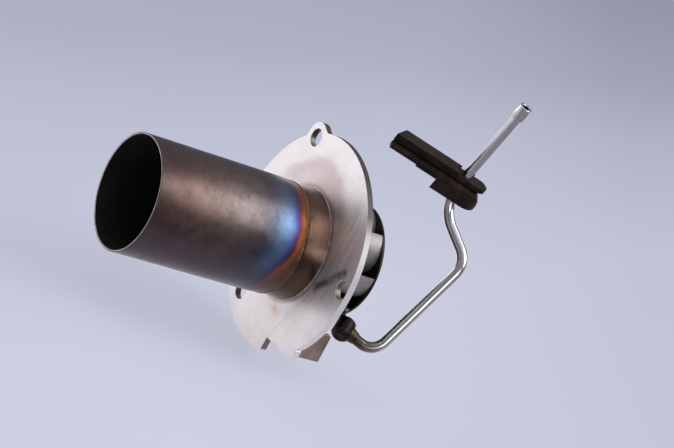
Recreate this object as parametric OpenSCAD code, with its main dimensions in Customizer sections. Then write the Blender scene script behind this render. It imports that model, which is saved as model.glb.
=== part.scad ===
// Oil burner nozzle: a combustion tube welded to a neck in a flange, with a swirl cage behind
// the flange, a fuel inlet with its bent steel pipe, and a rubber grommet on the pipe.
// The origin is the centre of the flange's front face. The tube runs towards -Y.
// Clock angles are seen from the tube's mouth: 0 is +Z and 90 is +X.

/* [Combustion tube] */
// Outer radius of the combustion tube
tube_r = 25; // [24.8:0.1:27]
// Sheet thickness of the combustion tube
tube_wall = 0.8; // [0.5:0.1:1.2]
// Distance from the flange's front face to the tube's mouth
tube_reach = 85; // [70:1:110]
// Length of the tube's drawn-in end beside the weld
swage_len = 5.5; // [3:0.5:8]
// Height and width of the weld bead between tube and neck
bead_h = 0.35; // [0.2:0.05:0.6]
bead_w = 1.6; // [1:0.1:2.4]

/* [Neck] */
// Length of the neck in front of the flange
neck_len = 11.5; // [9:0.5:16]
// How far the neck lies inside the tube's outer radius, in the flange and at the weld
neck_base_in = 0.3; // [0:0.05:0.4]
neck_seam_in = 0.8; // [0.5:0.05:1]
// Wall of the neck at the weld
neck_wall = 1; // [0.6:0.1:1.4]

/* [Flange] */
// Radius of the flange's round edge
flange_r = 48.6; // [47:0.2:52]
// Thickness of the flange
flange_t = 3; // [2:0.25:4]
// How far the three bolt holes lie inside the round edge: ear, side and lower hole
ear_hole_in = 2.1; // [0.8:0.1:3]
side_hole_in = 4.5; // [4.5:0.1:7]
low_hole_in = 8.5; // [5.6:0.1:11]
// Radius of a bolt hole
bolt_hole_r = 4; // [3:0.1:4.5]
// Radius of the ear round the upper bolt hole
ear_r = 7; // [6:0.1:8]
// Clock angle and depth of the V notch's apex below the round edge
notch_angle = 160.9; // [156:0.1:165]
notch_depth = 6.5; // [4:0.5:8]
// Clock angle of the tooth beside the notch, and how far it stands past the round edge
tooth_angle = 135; // [133:0.5:137]
tooth_h = 2.4; // [1:0.1:3]
// Width of the tooth at its end
tooth_w = 3.4; // [2:0.1:5]

/* [Locating lug] */
// Clock angle of the lug's lower outer corner, and how far that corner stands past the round edge
lug_angle = 135.6; // [134:0.2:137]
lug_out = 1.7; // [0.5:0.1:2.2]
// Thickness of the lug
lug_t = 1.8; // [1:0.1:3]
// Length of the lug behind the flange
lug_len = 11; // [8:0.5:14]
// Height of the lug along the flange, and the radius of its upper rear corner
lug_h = 13; // [9:0.5:16]
lug_corner_r = 1.2; // [0.5:0.1:2]

/* [Swirl cage] */
// Radius over the vane tips
cage_r = 25; // [23:0.2:27]
// Depth of the cage between the flange and the back disc
cage_depth = 24.7; // [22:0.1:30]
// Sheet thickness of a vane
vane_t = 1; // [0.6:0.1:1.4]
// Radius of a vane's curve, and the angle that the curve runs through
vane_curve_r = 12; // [11:0.5:13]
vane_sweep = 98; // [80:1:105]
// Clock angle of the first vane's tip
vane_start = 38; // [0:1:44]
// Thickness of the ring that carries the vanes
ring_t = 0.8; // [0.5:0.1:1.2]
// Radius of the ring's bore, which the air nozzle sits in
ring_bore_r = 15.5; // [14.5:0.1:16]
// Thickness of the disc that closes the cage, and its overhang past the vane tips
disc_t = 1; // [0.8:0.1:2]
disc_lip = 0.2; // [0:0.1:1]

/* [Air nozzle and baffle] */
// Sheet thickness of the nozzle and of the baffle
liner_t = 0.8; // [0.5:0.1:1.2]
// Inner radius at the nozzle's outlet
nozzle_throat_r = 11.2; // [9:0.1:13]
// Length of the nozzle in front of its lip
nozzle_len = 10; // [6:0.5:14]
// Width of the nozzle's lip
nozzle_lip = 2; // [1:0.1:4]
// Distance from the flange's front face to the baffle
baffle_reach = 46; // [35:1:60]
// Radius of the baffle's orifice
baffle_hole_r = 15; // [12:0.5:18]
// Length of the baffle's rim along the tube
baffle_rim = 5; // [3:0.5:8]

/* [Evaporator] */
// Outer radius of the evaporator cup
cup_r = 14; // [13:0.1:14.5]
// Depth of the cup in front of the back disc
cup_depth = 9.7; // [9:0.1:12]
// Thickness of the cup's floor, and of its wall round the fleece
cup_floor = 0.8; // [0.6:0.1:1.2]
cup_wall = 0.8; // [0.6:0.1:1]
// Width of the shoulder that the fleece sits on
cup_shoulder = 1; // [0.6:0.1:1.5]
// Thickness of the fuel fleece
fleece_t = 2.5; // [1.5:0.1:3]
// Thickness and width of the ring that holds the fleece
retainer_t = 0.8; // [0.5:0.1:1]
retainer_w = 1.6; // [1:0.1:1.8]
// Depth of that ring inside the cup's rim
retainer_set = 0.5; // [0.2:0.1:1]

/* [Igniter sleeve] */
// Radius of the sleeve's bore, and its wall
igniter_bore_r = 3; // [2.5:0.1:3.2]
igniter_wall = 0.6; // [0.4:0.1:0.8]
// Clock angle of the sleeve and its distance from the tube's axis
igniter_angle = 236; // [225:1:245]
igniter_offset = 7; // [6:0.1:7.2]
// Length of the sleeve in front of the fleece and behind the back disc
igniter_front = 5; // [3:0.5:7]
igniter_back = 7; // [4:0.5:10]

/* [Fuel inlet] */
// Clock angle of the inlet body and its distance from the tube's axis
inlet_angle = 127; // [124:0.5:130]
inlet_reach = 35; // [33:0.5:38]
// Distance of the inlet body behind the flange's front face
inlet_depth = 23.2; // [22.8:0.1:23.6]
// Lean of the inlet body's axis towards the flange
inlet_lean = 35; // [25:1:45]
// Radius and length of the inlet body, and the radius of its rounded outline
inlet_r = 4.2; // [4:0.1:4.6]
inlet_len = 9.4; // [9:0.1:10.5]
inlet_dome_r = 5.6; // [5.5:0.1:6.2]
// Radius of the plug in the inlet body's outer end, and how far it stands out
plug_r = 2.4; // [2:0.1:2.5]
plug_out = 0.3; // [0.1:0.1:0.6]
// Outer radius and bore radius of the feed tube into the evaporator
feed_r = 1.5; // [1.2:0.1:1.6]
feed_bore_r = 0.9; // [0.6:0.1:1]

/* [Fuel pipe] */
// Outer radius and bore radius of the fuel pipe
pipe_r = 2.4; // [2.2:0.1:2.5]
pipe_bore_r = 1.7; // [1.2:0.1:1.8]
// Clock angle of the pipe's straight end, which points away from the tube's axis
pipe_end_angle = 17.8; // [15:0.1:20]
// Distance of the straight end behind the flange's front face
pipe_end_depth = 50; // [46:0.5:54]
// Distance from the tube's axis to the last bend's corner and to the pipe's tip
pipe_elbow_reach = 42.4; // [40:0.1:44]
pipe_tip_reach = 101.9; // [95:0.1:110]
// Bend radius at the inlet, in the middle and at the straight end
bend_inlet_r = 8; // [7:0.5:9]
bend_middle_r = 10; // [8:0.5:12]
bend_end_r = 15; // [12:0.5:16]
// Radius and length of the weld collar where the pipe enters the inlet body
collar_r = 3.6; // [3.3:0.1:3.9]
collar_len = 1.8; // [1.4:0.1:3]
// Radius of the olive's shoulder and of its front edge, and its length
olive_r = 3.1; // [3:0.05:3.4]
olive_front_r = 2.8; // [2.75:0.05:3]
olive_len = 6.2; // [5:0.1:8]
// Length of the olive's straight shoulder
olive_land = 2.6; // [2:0.1:3.5]

/* [Pipe grommet] */
// How far the grommet sits over the end of the pipe's last bend
grommet_over = 3.6; // [2:0.1:3.8]
// Turn of the grommet about the pipe
grommet_turn = 25; // [0:1:45]
// Half width and height of the grommet's block
block_half_w = 7.4; // [6.6:0.1:8]
block_h = 7.35; // [6.8:0.05:8]
// Distance from the pipe's axis to the block's slanted end, and how far that end slants forward
block_back = 12; // [9:0.5:14]
block_slant = 8.3; // [0:0.1:8.5]
// Distance from the pipe's axis to the block's rounded nose, and how far the nose leans in
block_nose = 11.4; // [11.2:0.1:13]
nose_lean = 1.8; // [0:0.1:2.5]
// Size of the chamfer on the nose's upper edge
nose_chamfer = 2.2; // [1:0.1:2.6]
// Length of the tongue's side edge from the pipe's axis, and how far its end slants back
tongue_len = 36.5; // [30:0.5:40]
tongue_slant = 4.2; // [0:0.1:6]
// Thickness of the tongue at its end, and its step and where the step lies
tongue_t = 1.65; // [1.4:0.05:2]
tongue_step = 0.85; // [0.5:0.05:1.2]
tongue_step_at = 22.5; // [20:0.5:26]
// Half width and height of the bar on top of the block
bar_half_w = 3.75; // [3.6:0.05:4.2]
bar_h = 4.15; // [3.8:0.05:5]
// Drop of the bar's nose below its top, and the nose's reach past the pipe's axis
nose_drop = 1.2; // [0.8:0.1:1.8]
nose_reach = 10.4; // [9.6:0.1:11]
// Radius of the hollow in the bar round the pipe
hollow_r = 4.9; // [4:0.1:5.4]
// Height and depth of the groove between block and bar
groove_h = 0.9; // [0.6:0.1:1.2]
groove_depth = 1; // [0.4:0.1:1.1]
// Radial clearance between the grommet and the pipe
grommet_clear = 0.05; // [0.02:0.01:0.1]
// Depth of the grommet's flared entry, and its width beyond the bore
entry_depth = 4; // [3.8:0.1:5]
entry_flare = 0.7; // [0.6:0.1:1]

/* [Fits] */
// Radial clearance between pieces that are joined by a weld or a press
joint_gap = 0.05; // [0.02:0.01:0.1]

/* [Hidden] */
$fn = 96;

// Clearance past a face, so that a cut goes right through
cut = 1;

// Direction of a clock angle, and the point at a radius along it and a depth behind the flange
function clock(a) = [sin(a), 0, cos(a)];
function clock_point(r, a, depth) = r * clock(a) + [0, depth, 0];
function unit(v) = v / norm(v);

// Frame whose third axis is dir, as a matrix that also moves the origin to the point at
function side_of(dir) = unit(cross(abs(dir[1]) < 0.9 ? [0, 1, 0] : [1, 0, 0], dir));
function frame_along(dir, at) = frame_matrix(side_of(dir), cross(dir, side_of(dir)), dir, at);
function frame_matrix(u, v, w, at) = [
    [u[0], v[0], w[0], at[0]],
    [u[1], v[1], w[1], at[1]],
    [u[2], v[2], w[2], at[2]],
    [0, 0, 0, 1]
];

// Tube and neck
neck_base_r = tube_r - neck_base_in;
neck_seam_r = tube_r - neck_seam_in;
tube_seam_r = tube_r - neck_seam_in * 0.6;
neck_bore_r = neck_seam_r - neck_wall;

// Bolt holes as [x, z], first the one in the ear
ear_angle = -29;
side_hole_angle = 88.3;
low_hole_angle = 209.4;
ear_hole_reach = flange_r - ear_hole_in;
function face_point(r, a) = r * [sin(a), cos(a)];
bolt_holes = [
    face_point(ear_hole_reach, ear_angle),
    face_point(flange_r - side_hole_in, side_hole_angle),
    face_point(flange_r - low_hole_in, low_hole_angle)
];
lug_corner = face_point(flange_r + lug_out, lug_angle);

// Cage stations behind the flange's front face
vane_count = 8;
ring_y = flange_t;
vane_y = ring_y + ring_t;
disc_y = flange_t + cage_depth;
vane_pitch = 360 / vane_count;

// Cup stations
cup_rim_y = disc_y - cup_depth;
fleece_pocket_r = cup_r - cup_wall;
gallery_r = fleece_pocket_r - cup_shoulder;
retainer_y = cup_rim_y + retainer_set;
fleece_y = retainer_y + retainer_t;
shoulder_y = fleece_y + fleece_t;
igniter_r = igniter_bore_r + igniter_wall;
igniter_y = cup_rim_y - igniter_front;
igniter_end_y = disc_y + disc_t + igniter_back;
igniter_at = igniter_offset * [sin(igniter_angle), cos(igniter_angle)];

// Fuel inlet: its centre, and the directions of its body, its feed tube and its pipe
inlet_at = clock_point(inlet_reach, inlet_angle, inlet_depth);
inlet_dir = cos(inlet_lean) * clock(inlet_angle) + [0, -sin(inlet_lean), 0];
feed_dir = -clock(inlet_angle);
socket_depth = 2.4;
plug_depth = 1.6;
feed_len = inlet_reach - socket_depth - gallery_r - cup_shoulder / 2;

// Corners of the pipe's centre line, with the bend radius at each inner corner
pipe_first_leg = [6.8, 15, -4.8];
pipe_middle = [34, 60, 25];
pipe_dir = unit(pipe_first_leg);
pipe_corners = [
    inlet_at + pipe_dir * socket_depth,
    inlet_at + pipe_first_leg,
    pipe_middle,
    clock_point(pipe_elbow_reach, pipe_end_angle, pipe_end_depth),
    clock_point(pipe_tip_reach, pipe_end_angle, pipe_end_depth)
];
pipe_bends = [0, bend_inlet_r, bend_middle_r, bend_end_r, 0];
pipe_last = len(pipe_corners) - 1;
pipe_sides = 24;
bend_steps = 6;
function leg_dir(i) = unit(pipe_corners[i + 1] - pipe_corners[i]);
function turn_at(i) = acos(leg_dir(i - 1) * leg_dir(i));
function setback(i) = pipe_bends[i] * tan(turn_at(i) / 2);

// Vector turned about a unit axis, and the axis and centre of each bend
function turned(v, axis, a) =
    v * cos(a) + cross(axis, v) * sin(a) + axis * (axis * v) * (1 - cos(a));
function bend_axis(i) = unit(cross(leg_dir(i - 1), leg_dir(i)));
function bend_arm(i) = cross(bend_axis(i), leg_dir(i - 1)) * pipe_bends[i];
function bend_centre(i) = pipe_corners[i] - leg_dir(i - 1) * setback(i) + bend_arm(i);

// Side vector of each leg, carried round the bends before it without twist
function leg_side(i) =
    i == 0 ? side_of(leg_dir(0)) : turned(leg_side(i - 1), bend_axis(i), turn_at(i));

// Rings round the pipe's centre line, with the area of the true circle
function fair_r(r, sides) = r * sqrt((2 * PI / sides) / sin(360 / sides));
function ring(at, dir, side, r, sides) = [
    for (k = [0:sides - 1])
        let (a = k * 360 / sides)
        at + fair_r(r, sides) * (side * cos(a) + cross(dir, side) * sin(a))
];
function bend_rings(i, r, sides) = [
    for (j = [0:bend_steps])
        let (a = turn_at(i) * j / bend_steps, axis = bend_axis(i))
        ring(
            bend_centre(i) - turned(bend_arm(i), axis, a),
            turned(leg_dir(i - 1), axis, a),
            turned(leg_side(i - 1), axis, a),
            r, sides
        )
];
function pipe_rings(r, sides) = concat(
    [ring(pipe_corners[0], leg_dir(0), leg_side(0), r, sides)],
    [for (i = [1:pipe_last - 1]) each bend_rings(i, r, sides)],
    [ring(pipe_corners[pipe_last], leg_dir(pipe_last - 1), leg_side(pipe_last - 1), r, sides)]
);

// Grommet levels along the pipe's straight end, from its inner face
grommet_reach = pipe_elbow_reach + setback(pipe_last - 1) - grommet_over;
bar_top = block_h + bar_h;
nose_top = bar_top - nose_drop;
groove_y = block_h;
tongue_low = block_h - tongue_t - tongue_step;

// Turns a profile of [radius, distance behind the flange] about the tube's axis
module spin() {
    rotate([-90, 0, 0]) rotate_extrude() children();
}

// Raises an outline of [x, z] into a plate from depth y, t thick
module plate(y, t) {
    translate([0, y + t, 0]) rotate([90, 0, 0]) linear_extrude(t) children();
}

// A rod along Y at [x, z], from depth y0 to y1
module rod_y(at, r, y0, y1) {
    translate([at[0], y0, at[1]]) rotate([-90, 0, 0]) cylinder(r = r, h = y1 - y0);
}

// A rod from a point along a direction
module rod(at, dir, r, h) {
    multmatrix(frame_along(dir, at)) cylinder(r = r, h = h);
}

module combustion_tube() {
    swage_y = -neck_len - swage_len;
    color("dimgray") spin() polygon([
        [tube_r - tube_wall, -tube_reach],
        [tube_r, -tube_reach],
        [tube_r, swage_y],
        [tube_seam_r, -neck_len],
        [tube_seam_r - tube_wall, -neck_len],
        [tube_r - tube_wall, swage_y]
    ]);
}

module seam_weld() {
    half = bead_w / 2;
    tube_foot_r = tube_seam_r + (tube_r - tube_seam_r) * half / swage_len;
    neck_foot_r = neck_seam_r + (neck_base_r - neck_seam_r) * half / neck_len;
    crest_r = tube_seam_r + bead_h;
    color("saddlebrown") spin() polygon([
        [tube_foot_r, -neck_len - half],
        [tube_seam_r, -neck_len],
        [neck_seam_r, -neck_len],
        [neck_foot_r, -neck_len + half],
        [crest_r - bead_h / 3, -neck_len + half * 0.55],
        [crest_r, -neck_len],
        [crest_r - bead_h / 6, -neck_len - half * 0.55]
    ]);
}

module neck_sleeve() {
    color("tan") spin() polygon([
        [neck_bore_r, -neck_len],
        [neck_seam_r, -neck_len],
        [neck_base_r, 0],
        [neck_base_r, flange_t],
        [neck_bore_r, flange_t]
    ]);
}

// Web that joins the ear's round end to the disc
module ear_web() {
    root_angle = 11;
    root_r = flange_r - cut;
    half = ear_r * 0.86;
    rotate(-ear_angle) polygon([
        [-root_r * sin(root_angle), root_r * cos(root_angle)],
        [-half, ear_hole_reach + ear_r * 0.5],
        [half, ear_hole_reach + ear_r * 0.5],
        [root_r * sin(root_angle), root_r * cos(root_angle)]
    ]);
}

module tooth_outline() {
    tooth_out = flange_r + tooth_h;
    rotate(-tooth_angle) polygon([
        [-tooth_w * 0.7, flange_r - tooth_w],
        [-tooth_w * 0.7, flange_r + tooth_h * 0.2],
        [0, tooth_out],
        [tooth_w * 2, tooth_out],
        [tooth_w * 2, flange_r - tooth_w]
    ]);
}

// Outline cut away between the notch's left side and the tooth
module notch_outline() {
    apex = face_point(flange_r - notch_depth, notch_angle);
    mouth = face_point(flange_r + cut, notch_angle + 3.4);
    tooth_tip = face_point(flange_r + tooth_h, tooth_angle + 3);
    polygon([
        apex,
        mouth,
        mouth + [0, -tooth_h * 4],
        tooth_tip + [tooth_h * 4, -tooth_h * 4],
        apex + 1.5 * (tooth_tip - apex)
    ]);
}

module flange_plate() {
    color("lightgray") difference() {
        union() {
            plate(0, flange_t) circle(r = flange_r);
            plate(0, flange_t) translate(bolt_holes[0]) circle(r = ear_r);
            plate(0, flange_t) ear_web();
            plate(0, flange_t) tooth_outline();
        }
        plate(-cut, flange_t + 2 * cut) notch_outline();
        rod_y([0, 0], neck_base_r + joint_gap, -cut, flange_t + cut);
        for (hole = bolt_holes)
            rod_y(hole, bolt_hole_r, -cut, flange_t + cut);
    }
}

module locating_lug() {
    top = lug_corner[1] + lug_h;
    back = flange_t + lug_len;
    color("rosybrown") translate([lug_corner[0] - lug_t, 0, 0]) rotate([90, 0, 90])
        linear_extrude(lug_t) difference() {
            translate([flange_t, lug_corner[1]]) square([lug_len, lug_h]);
            translate([back - lug_corner_r, top - lug_corner_r]) difference() {
                square(2 * lug_corner_r);
                circle(r = lug_corner_r);
            }
        }
}

module vane_ring() {
    color("silver") plate(ring_y, ring_t) difference() {
        circle(r = cage_r + disc_lip);
        circle(r = ring_bore_r);
    }
}

// One vane's outline, with its tip at clock angle 0
module vane_outline() {
    reach = 2 * vane_curve_r;
    translate([0, cage_r - vane_curve_r]) intersection() {
        difference() {
            circle(r = vane_curve_r);
            circle(r = vane_curve_r - vane_t);
        }
        polygon(concat([[0, 0]], [
            for (i = [0:3]) reach * [sin(i * vane_sweep / 3), cos(i * vane_sweep / 3)]
        ]));
    }
}

module swirl_vane(number) {
    tip = vane_start + (number - 1) * vane_pitch;
    color("gainsboro") difference() {
        plate(vane_y, disc_y - vane_y) rotate(-tip) vane_outline();
        rod(inlet_at, feed_dir, feed_r + joint_gap * 4, inlet_reach - cup_r);
    }
}

module igniter_hole(y0, y1) {
    rod_y(igniter_at, igniter_r + joint_gap, y0 - cut, y1 + cut);
}

module back_disc() {
    color("darkslategray") difference() {
        plate(disc_y, disc_t) circle(r = cage_r + disc_lip);
        igniter_hole(disc_y, disc_y + disc_t);
    }
}

module air_nozzle() {
    seat_r = ring_bore_r - joint_gap;
    inner_r = seat_r - liner_t;
    lip_r = seat_r + nozzle_lip;
    lip_y = ring_y - liner_t;
    outlet_y = lip_y - nozzle_len;
    color("silver") spin() polygon([
        [inner_r, ring_y + ring_t],
        [seat_r, ring_y + ring_t],
        [seat_r, ring_y],
        [lip_r, ring_y],
        [lip_r, lip_y],
        [seat_r, lip_y],
        [nozzle_throat_r + liner_t, outlet_y],
        [nozzle_throat_r, outlet_y],
        [inner_r, lip_y]
    ]);
}

module flame_baffle() {
    rim_r = tube_r - tube_wall - joint_gap;
    face_y = -baffle_reach;
    color("slategray") spin() polygon([
        [baffle_hole_r, face_y],
        [rim_r, face_y],
        [rim_r, face_y + baffle_rim],
        [rim_r - liner_t, face_y + baffle_rim],
        [rim_r - liner_t, face_y + liner_t],
        [baffle_hole_r, face_y + liner_t]
    ]);
}

module evaporator_cup() {
    floor_y = disc_y - cup_floor;
    color("slategray") difference() {
        spin() polygon([
            [0, floor_y],
            [gallery_r, floor_y],
            [gallery_r, shoulder_y],
            [fleece_pocket_r, shoulder_y],
            [fleece_pocket_r, cup_rim_y],
            [cup_r, cup_rim_y],
            [cup_r, disc_y],
            [0, disc_y]
        ]);
        igniter_hole(floor_y, disc_y);
        rod(inlet_at, feed_dir, feed_r + joint_gap, inlet_reach - gallery_r + cut);
    }
}

module fuel_fleece() {
    color("dimgray") difference() {
        rod_y([0, 0], fleece_pocket_r - joint_gap, fleece_y, shoulder_y);
        igniter_hole(fleece_y, shoulder_y);
    }
}

module fleece_retainer() {
    color("silver") difference() {
        rod_y([0, 0], fleece_pocket_r - joint_gap, retainer_y, fleece_y);
        rod_y([0, 0], fleece_pocket_r - retainer_w, retainer_y - cut, fleece_y + cut);
    }
}

module igniter_sleeve() {
    color("gray") difference() {
        rod_y(igniter_at, igniter_r, igniter_y, igniter_end_y);
        rod_y(igniter_at, igniter_bore_r, igniter_y - cut, igniter_end_y + cut);
    }
}

module feed_tube() {
    start = inlet_at + feed_dir * socket_depth;
    color("peru") difference() {
        rod(start, feed_dir, feed_r, feed_len);
        rod(start - feed_dir * cut, feed_dir, feed_bore_r, feed_len + 2 * cut);
    }
}

// Barrel of the fuel inlet without its sockets
module inlet_barrel() {
    multmatrix(frame_along(inlet_dir, inlet_at)) intersection() {
        cylinder(r = inlet_r, h = inlet_len, center = true);
        sphere(r = inlet_dome_r);
    }
}

module inlet_body() {
    color("saddlebrown") difference() {
        inlet_barrel();
        rod(inlet_at + pipe_dir * socket_depth, pipe_dir, pipe_r + joint_gap, inlet_len);
        rod(inlet_at + feed_dir * socket_depth, feed_dir, feed_r + joint_gap, inlet_len);
        rod(inlet_at + inlet_dir * (inlet_len / 2 - plug_depth), inlet_dir,
            plug_r + joint_gap, inlet_len);
        rod(inlet_at, pipe_dir, feed_bore_r, socket_depth + cut);
        rod(inlet_at, feed_dir, feed_bore_r, socket_depth + cut);
        sphere_at(inlet_at, feed_bore_r);
    }
}

module sphere_at(at, r) {
    translate(at) sphere(r = r);
}

module inlet_plug() {
    start = inlet_at + inlet_dir * (inlet_len / 2 - plug_depth);
    color("black") rod(start, inlet_dir, plug_r, plug_depth + plug_out);
}

module pipe_weld_collar() {
    root = inlet_r * 0.6;
    surface = inlet_dome_r * 0.92;
    color("sienna") difference() {
        multmatrix(frame_along(pipe_dir, inlet_at)) translate([0, 0, root])
            cylinder(r1 = collar_r, r2 = pipe_r + 0.2, h = surface + collar_len - root);
        inlet_barrel();
        rod(inlet_at, pipe_dir, pipe_r + joint_gap, surface + collar_len + cut);
    }
}

// Tube whose wall lies between outer and inner rings of points
module tube_skin(outer, inner) {
    sides = len(outer[0]);
    last = len(outer) - 1;
    far = last * sides;
    bore = far + sides;
    spans = [
        for (m = [0:last - 1], k = [0:sides - 1])
            [m * sides + k, m * sides + (k + 1) % sides]
    ];
    rims = [for (k = [0:sides - 1]) [k, (k + 1) % sides]];
    polyhedron(
        points = [for (one = concat(outer, inner)) each one],
        faces = concat(
            [for (s = spans) [s[0], s[0] + sides, s[1] + sides, s[1]]],
            [for (s = spans) [bore + s[1], bore + s[1] + sides, bore + s[0] + sides, bore + s[0]]],
            [for (s = rims) [s[0], s[1], bore + s[1], bore + s[0]]],
            [for (s = rims) [far + s[1], far + s[0], bore + far + s[0], bore + far + s[1]]]
        )
    );
}

module fuel_pipe() {
    color("gainsboro")
        tube_skin(pipe_rings(pipe_r, pipe_sides), pipe_rings(pipe_bore_r, pipe_sides));
}

// Moves a shape to the pipe's straight end, with +Z along the pipe and 0 on the tube's axis
module on_pipe_end() {
    translate([0, pipe_end_depth, 0]) rotate([0, pipe_end_angle, 0]) children();
}

module hose_olive() {
    bore = pipe_r + joint_gap;
    rear = pipe_tip_reach - olive_len;
    color("lightgray") on_pipe_end() rotate_extrude() polygon([
        [bore, rear],
        [olive_r, rear],
        [olive_r, rear + olive_land],
        [olive_front_r, pipe_tip_reach],
        [bore, pipe_tip_reach]
    ]);
}

// Outline of a bar that ends in a round nose of its own half width
module nosed_outline(half_w, back, nose) {
    translate([-half_w, -back]) square([2 * half_w, back + nose - half_w]);
    translate([0, nose - half_w]) circle(r = half_w);
}

// Cuts the slanted end of the tongue through everything
module tongue_end_cut() {
    top = bar_top + 2 * cut;
    far = tongue_len + tongue_slant + 4 * cut;
    slope = tongue_slant / (2 * bar_half_w);
    wide = block_half_w + cut;
    low = tongue_len - (wide + bar_half_w) * slope;
    translate([0, 0, -cut]) linear_extrude(top) polygon([
        [-wide, -low],
        [bar_half_w, -tongue_len],
        [wide, -tongue_len],
        [wide, -far],
        [-wide, -far]
    ]);
}

// Block round the pipe, with a slanted end and a chamfered, leaning nose
module grommet_block() {
    shoulder = block_h - nose_chamfer;
    slant_over = block_slant * cut / (2 * block_half_w);
    difference() {
        linear_extrude(block_h) nosed_outline(block_half_w, block_back, block_nose);
        translate([0, 0, -cut]) linear_extrude(block_h + 2 * cut) polygon([
            [block_half_w + cut, -block_back - slant_over],
            [-block_half_w - cut, -block_back + block_slant + slant_over],
            [-block_half_w - cut, -block_back - cut],
            [block_half_w + cut, -block_back - cut]
        ]);
        across() polygon([
            [block_nose, 0],
            [block_nose - nose_lean, shoulder],
            [block_nose - nose_lean - nose_chamfer, block_h],
            [block_nose - nose_lean - nose_chamfer, block_h + cut],
            [block_nose + cut, block_h + cut],
            [block_nose + cut, 0]
        ]);
    }
}

// Runs an outline of [along the grommet, height] across the block's whole width
module across() {
    translate([block_half_w + cut, 0, 0]) rotate([90, 0, -90]) mirror([1, 0, 0])
        linear_extrude(2 * (block_half_w + cut)) children();
}

module grommet_solid() {
    tongue_back = tongue_len + tongue_slant;
    difference() {
        union() {
            grommet_block();
            // Tongue with its step
            translate([-block_half_w, -tongue_back, block_h - tongue_t])
                cube([2 * block_half_w, tongue_back, tongue_t]);
            translate([-block_half_w, -tongue_step_at, tongue_low])
                cube([2 * block_half_w, tongue_step_at, tongue_t + tongue_step]);
            // Bar with its lower nose
            translate([0, 0, block_h]) linear_extrude(nose_top - block_h)
                nosed_outline(bar_half_w, tongue_back, nose_reach);
            translate([-bar_half_w, -tongue_back, block_h])
                cube([2 * bar_half_w, tongue_back, bar_h]);
        }
        // Hollow in the bar round the pipe
        translate([0, 0, nose_top]) cylinder(r = hollow_r, h = bar_h);
        tongue_end_cut();
        // Groove along the bar and round its nose
        translate([0, 0, groove_y]) linear_extrude(groove_h) difference() {
            translate([-block_half_w, -tongue_back - cut])
                square([2 * block_half_w, tongue_back + nose_reach + 2 * cut]);
            nosed_outline(bar_half_w - groove_depth, tongue_back + 2 * cut,
                nose_reach - 2 * groove_depth);
        }
    }
}

module pipe_grommet() {
    color([0.2, 0.16, 0.15]) difference() {
        on_pipe_end() translate([0, 0, grommet_reach]) rotate(-grommet_turn) grommet_solid();
        on_pipe_end() translate([0, 0, grommet_reach]) {
            bore_r = pipe_r + grommet_clear;
            translate([0, 0, -cut]) cylinder(r = bore_r, h = bar_top + 2 * cut);
            translate([0, 0, -entry_depth / 10])
                cylinder(r1 = bore_r + entry_flare * 1.1, r2 = bore_r, h = entry_depth * 1.1);
        }
    }
}

combustion_tube();
seam_weld();
neck_sleeve();
flange_plate();
locating_lug();
vane_ring();
for (number = [1:vane_count])
    swirl_vane(number);
back_disc();
air_nozzle();
flame_baffle();
evaporator_cup();
fuel_fleece();
fleece_retainer();
igniter_sleeve();
feed_tube();
inlet_body();
inlet_plug();
pipe_weld_collar();
fuel_pipe();
hose_olive();
pipe_grommet();
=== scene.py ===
"""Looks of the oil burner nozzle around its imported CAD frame. Lengths are in metres."""

import math

import bmesh
import bpy
from mathutils import Matrix, Vector, noise


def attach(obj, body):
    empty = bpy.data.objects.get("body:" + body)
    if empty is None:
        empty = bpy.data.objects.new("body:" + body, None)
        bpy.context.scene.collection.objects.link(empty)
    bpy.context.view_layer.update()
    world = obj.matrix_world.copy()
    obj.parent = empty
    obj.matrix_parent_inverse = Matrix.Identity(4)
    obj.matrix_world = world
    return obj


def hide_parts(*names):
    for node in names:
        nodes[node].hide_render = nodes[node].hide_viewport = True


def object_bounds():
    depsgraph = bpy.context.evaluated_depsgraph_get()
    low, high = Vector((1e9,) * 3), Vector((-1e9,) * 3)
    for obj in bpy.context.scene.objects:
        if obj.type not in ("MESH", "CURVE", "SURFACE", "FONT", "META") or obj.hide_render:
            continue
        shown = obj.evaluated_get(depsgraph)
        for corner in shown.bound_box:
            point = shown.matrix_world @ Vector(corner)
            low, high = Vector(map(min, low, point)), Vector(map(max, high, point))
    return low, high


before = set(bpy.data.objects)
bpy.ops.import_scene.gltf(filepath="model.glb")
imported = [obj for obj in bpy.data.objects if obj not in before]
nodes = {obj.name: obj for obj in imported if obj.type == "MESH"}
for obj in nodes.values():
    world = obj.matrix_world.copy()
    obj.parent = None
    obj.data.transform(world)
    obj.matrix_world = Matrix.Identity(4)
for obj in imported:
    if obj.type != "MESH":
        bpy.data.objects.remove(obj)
cad_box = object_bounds()
MM = 0.001


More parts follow.
